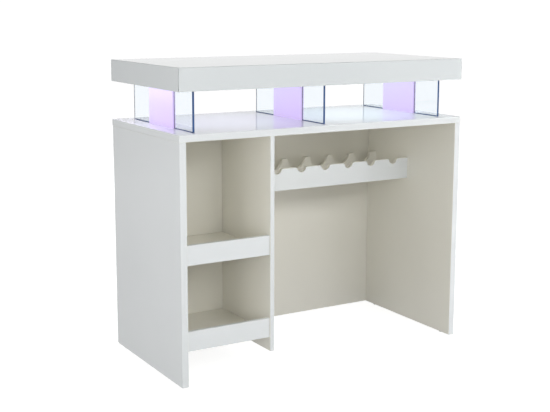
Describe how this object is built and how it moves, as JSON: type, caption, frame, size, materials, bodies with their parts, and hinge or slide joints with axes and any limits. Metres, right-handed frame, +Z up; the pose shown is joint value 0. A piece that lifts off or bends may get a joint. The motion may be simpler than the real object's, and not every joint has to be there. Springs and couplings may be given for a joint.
{
  "type": "bar counter with shelves",
  "caption": "White gloss bar counter: a thick hollow bar top on lit glass supports over a counter with an open shelf bay, a knee space and a bottle rack.",
  "frame": {"origin": "on the floor under the middle of the bar top", "axes": "+X along the counter to the server's right, +Y from the server's side to the guests' side, +Z up"},
  "size_m": [1.2, 0.58, 1.1],
  "materials": {
    "gloss_lacquer": "white high-gloss lacquer on fibreboard",
    "melamine": "white satin melamine on chipboard",
    "glass": "clear polished float glass",
    "opal_acrylic": "opal acrylic lit from its upper edge",
    "raw_wood": "sanded bare wood",
    "aluminium": "extruded, bare",
    "steel": "zinc plated",
    "white_plastic": "moulded, white",
    "black_plastic": "moulded, black"
  },
  "bodies": {
    "root": {"counter_top": "gloss_lacquer", "left_side_panel": "gloss_lacquer", "right_side_panel": "gloss_lacquer", "divider_panel": "gloss_lacquer", "back_panel": "gloss_lacquer", "glide_left_front": "black_plastic", "glide_left_rear": "black_plastic", "glide_right_front": "black_plastic", "glide_right_rear": "black_plastic", "counter_dowel_left_front": "raw_wood", "counter_dowel_left_rear": "raw_wood", "counter_dowel_divider_front": "raw_wood", "counter_dowel_divider_rear": "raw_wood", "counter_dowel_right_front": "raw_wood", "counter_dowel_right_rear": "raw_wood", "shelf_back_panel": "melamine", "lower_shelf": "melamine", "lower_shelf_rail": "gloss_lacquer", "upper_shelf": "melamine", "upper_shelf_rail": "gloss_lacquer", "bottle_rack_front_rail": "gloss_lacquer", "bottle_rack_rear_rail": "gloss_lacquer", "left_light_panel": "opal_acrylic", "left_front_glass": "glass", "left_rear_glass": "glass", "left_light_left_cleat": "raw_wood", "left_light_right_cleat": "raw_wood", "left_led_channel": "aluminium", "left_led_strip": "white_plastic", "left_front_tie_bolt": "steel", "left_rear_tie_bolt": "steel", "middle_light_panel": "opal_acrylic", "middle_front_glass": "glass", "middle_rear_glass": "glass", "middle_light_left_cleat": "raw_wood", "middle_light_right_cleat": "raw_wood", "middle_led_channel": "aluminium", "middle_led_strip": "white_plastic", "middle_front_tie_bolt": "steel", "middle_rear_tie_bolt": "steel", "right_light_panel": "opal_acrylic", "right_front_glass": "glass", "right_rear_glass": "glass", "right_light_left_cleat": "raw_wood", "right_light_right_cleat": "raw_wood", "right_led_channel": "aluminium", "right_led_strip": "white_plastic", "right_front_tie_bolt": "steel", "right_rear_tie_bolt": "steel", "bar_top_board": "gloss_lacquer", "bar_top_front_fascia": "gloss_lacquer", "bar_top_right_fascia": "gloss_lacquer", "bar_top_rear_fascia": "gloss_lacquer", "bar_top_left_fascia": "gloss_lacquer", "bar_top_closing_board": "gloss_lacquer", "bar_top_front_rib": "raw_wood", "bar_top_rear_rib": "raw_wood", "led_controller": "white_plastic", "power_inlet": "black_plastic", "led_lead": "white_plastic"}
  },
  "joints": []
}
